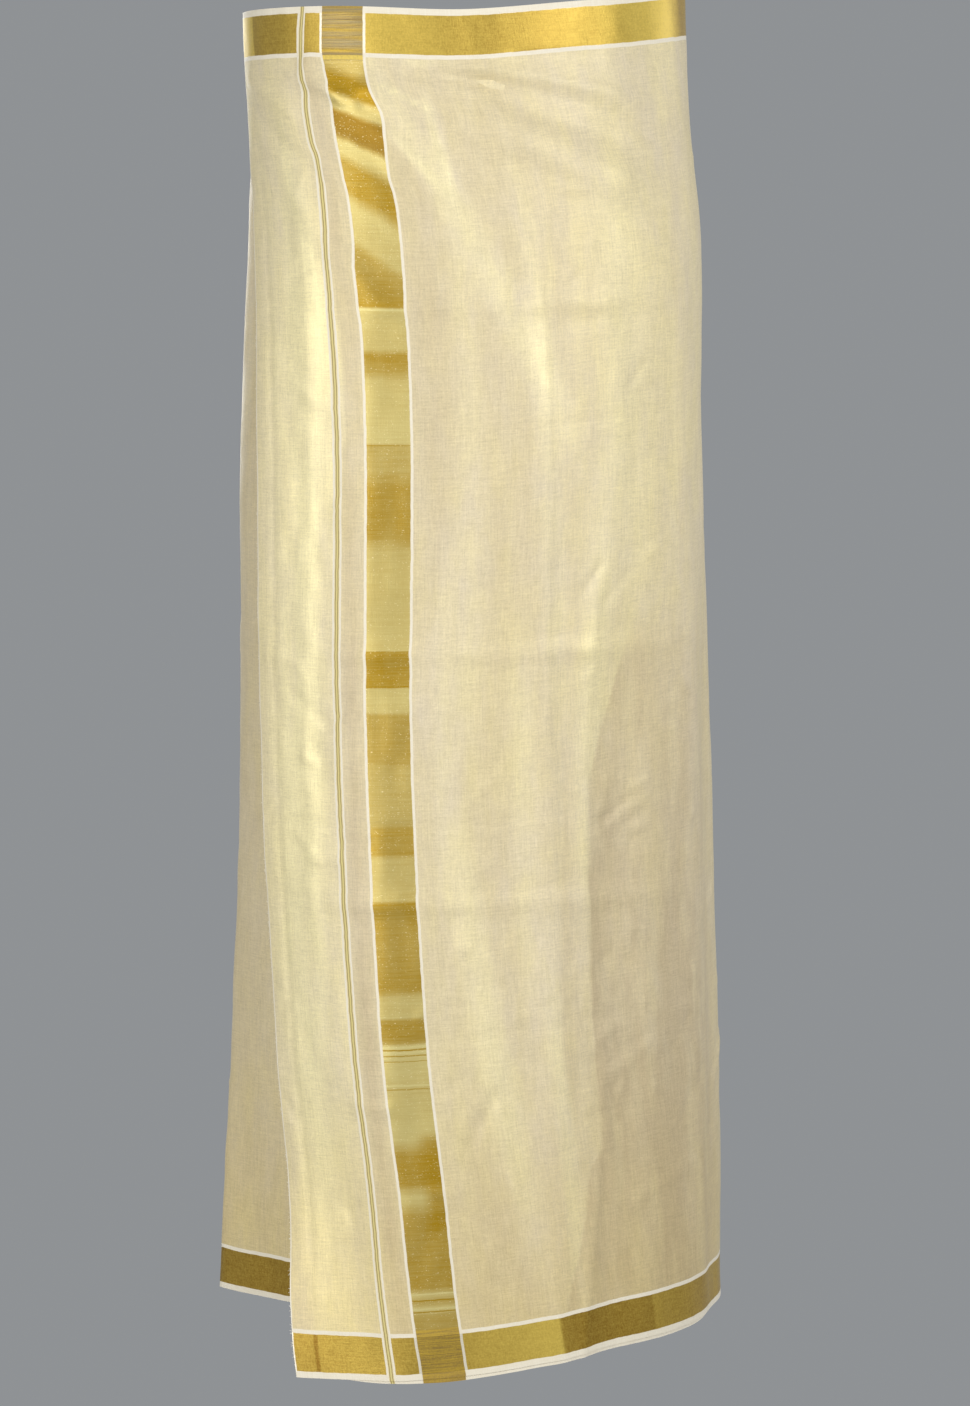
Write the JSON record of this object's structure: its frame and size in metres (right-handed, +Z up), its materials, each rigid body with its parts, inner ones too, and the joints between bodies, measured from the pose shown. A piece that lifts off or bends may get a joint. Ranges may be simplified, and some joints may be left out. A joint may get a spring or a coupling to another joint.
{
  "type": "worn dhoti cloth",
  "caption": "Long plain cloth wound round the waist and hanging to the ankles, with woven gold borders at waist and hem and a gold stripe near its free front edge.",
  "frame": {"origin": "middle of the waist, where the wearer holds the cloth, about 22 mm below its top edge at the front", "axes": "+Z up, the wearer's front faces -Y, +X is the right of a viewer in front"},
  "size_m": [0.4376, 0.3322, 1.1481],
  "materials": {
    "front_tissue": "ivory and gold tissue weave with a metallic sheen, bright gold borders and an end stripe",
    "back_tissue": "ivory and gold tissue weave with a metallic sheen, bright gold borders",
    "under_tissue": "ivory and gold tissue weave with a metallic sheen, bright gold borders"
  },
  "bodies": {
    "root": {"front_flap": "front_tissue", "back_stretch": "back_tissue", "under_stretch": "under_tissue"}
  },
  "joints": []
}
